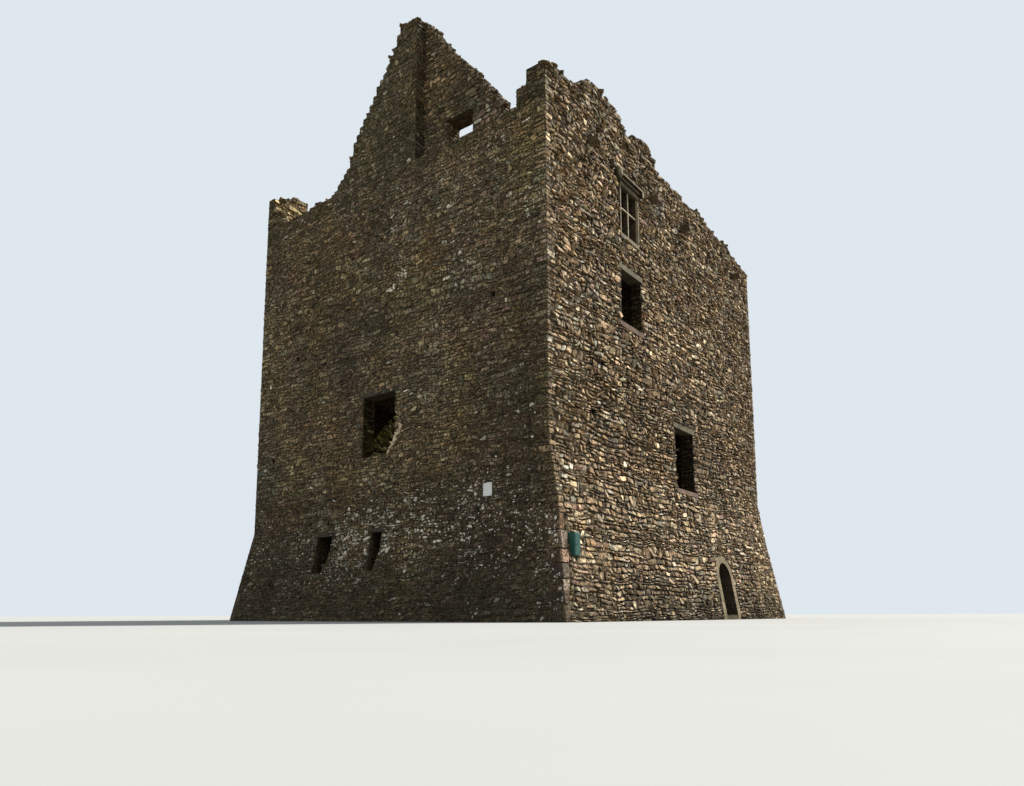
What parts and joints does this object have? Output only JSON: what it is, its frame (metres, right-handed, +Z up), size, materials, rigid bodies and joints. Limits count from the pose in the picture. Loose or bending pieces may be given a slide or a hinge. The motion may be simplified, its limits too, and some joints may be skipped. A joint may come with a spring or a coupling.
{
  "type": "castle keep",
  "caption": "Ruined rectangular masonry keep on a battered foot, roofless, with broken gables and parapets, windows, loops, a vaulted ground floor and a round-headed doorway.",
  "frame": {"origin": "ground level, middle of the footprint", "axes": "+Z up; the gable wall with the two loops faces -Y; the long wall with the doorway faces +X"},
  "size_m": [13.221, 15.957, 18.63],
  "materials": {
    "rubble": "rough coursed rubble, lime mortar, lichen",
    "paving": "worn flagstones",
    "dressed_stone": "tooled sandstone, weathered",
    "white_plate": "satin",
    "green_paint": "satin"
  },
  "bodies": {
    "root": {"front_wall_base": "rubble", "back_wall_base": "rubble", "left_wall_base": "rubble", "right_wall_base_front": "rubble", "right_wall_base_back": "rubble", "doorway_head": "rubble", "front_wall_first": "rubble", "back_wall_first": "rubble", "left_wall_first": "rubble", "right_wall_first": "rubble", "front_wall_upper": "rubble", "back_wall_upper": "rubble", "left_wall_upper": "rubble", "right_wall_upper": "rubble", "front_gable_stack": "rubble", "front_gable_wing": "rubble", "back_gable": "rubble", "front_parapet": "rubble", "back_parapet": "rubble", "left_parapet": "rubble", "right_parapet": "rubble", "barrel_vault": "rubble", "ground_floor": "paving", "first_floor": "paving", "left_wall_walk": "paving", "right_wall_walk": "paving", "doorway_surround": "dressed_stone", "right_drain_spouts": "dressed_stone", "left_drain_spouts": "dressed_stone", "hooded_window_surround": "dressed_stone", "hooded_window_mullion": "dressed_stone", "hooded_window_transom": "dressed_stone", "hood_mould": "dressed_stone", "window_sills": "dressed_stone", "window_lintels": "dressed_stone", "loop_lintels": "dressed_stone", "notice_plate": "white_plate", "wall_box": "green_paint"}
  },
  "joints": []
}
